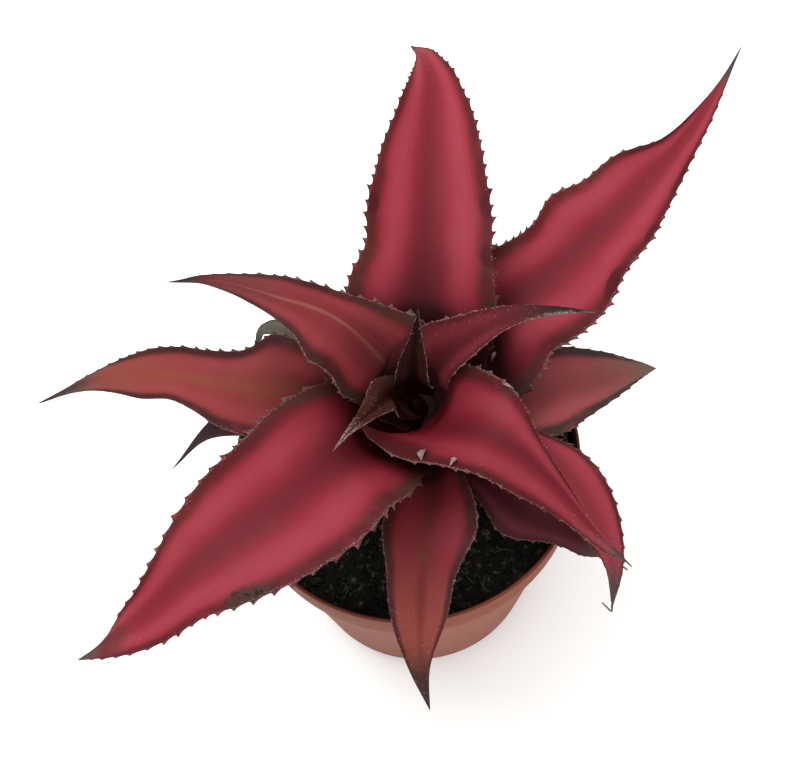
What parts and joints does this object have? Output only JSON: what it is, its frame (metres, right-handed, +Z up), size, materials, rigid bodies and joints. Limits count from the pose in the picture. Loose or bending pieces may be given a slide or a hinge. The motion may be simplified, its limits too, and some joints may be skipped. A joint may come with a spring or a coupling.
{
  "type": "potted earth star",
  "caption": "Rosette of wavy, saw-toothed crimson leaves on a short stem, rooted in dark potting mix in a round nursery pot with a deep collar.",
  "frame": {"origin": "middle of the pot's flat underside", "axes": "+Z up the pot's axis, +X to the right of the plant as pictured, +Y to its back; the rosette has no symmetry of its own"},
  "size_m": [0.2653, 0.2307, 0.1697],
  "materials": {
    "pot_plastic": "satin moulded plastic in a dusty terracotta colour",
    "potting_mix": "moist crumbs of dark peat and bark",
    "stem_bark": "dull brown, ringed with leaf scars",
    "leaf": "satin, crimson with a dark middle band and pale scurf along the margins"
  },
  "bodies": {
    "root": {"pot": "pot_plastic", "potting_mix": "potting_mix", "stem": "stem_bark", "leaf_01": "leaf", "leaf_02": "leaf", "leaf_03": "leaf", "leaf_04": "leaf", "leaf_05": "leaf", "leaf_06": "leaf", "leaf_07": "leaf", "leaf_08": "leaf", "leaf_09": "leaf", "leaf_10": "leaf", "leaf_11": "leaf", "leaf_12": "leaf", "leaf_13": "leaf", "leaf_14": "leaf", "leaf_15": "leaf"}
  },
  "joints": []
}
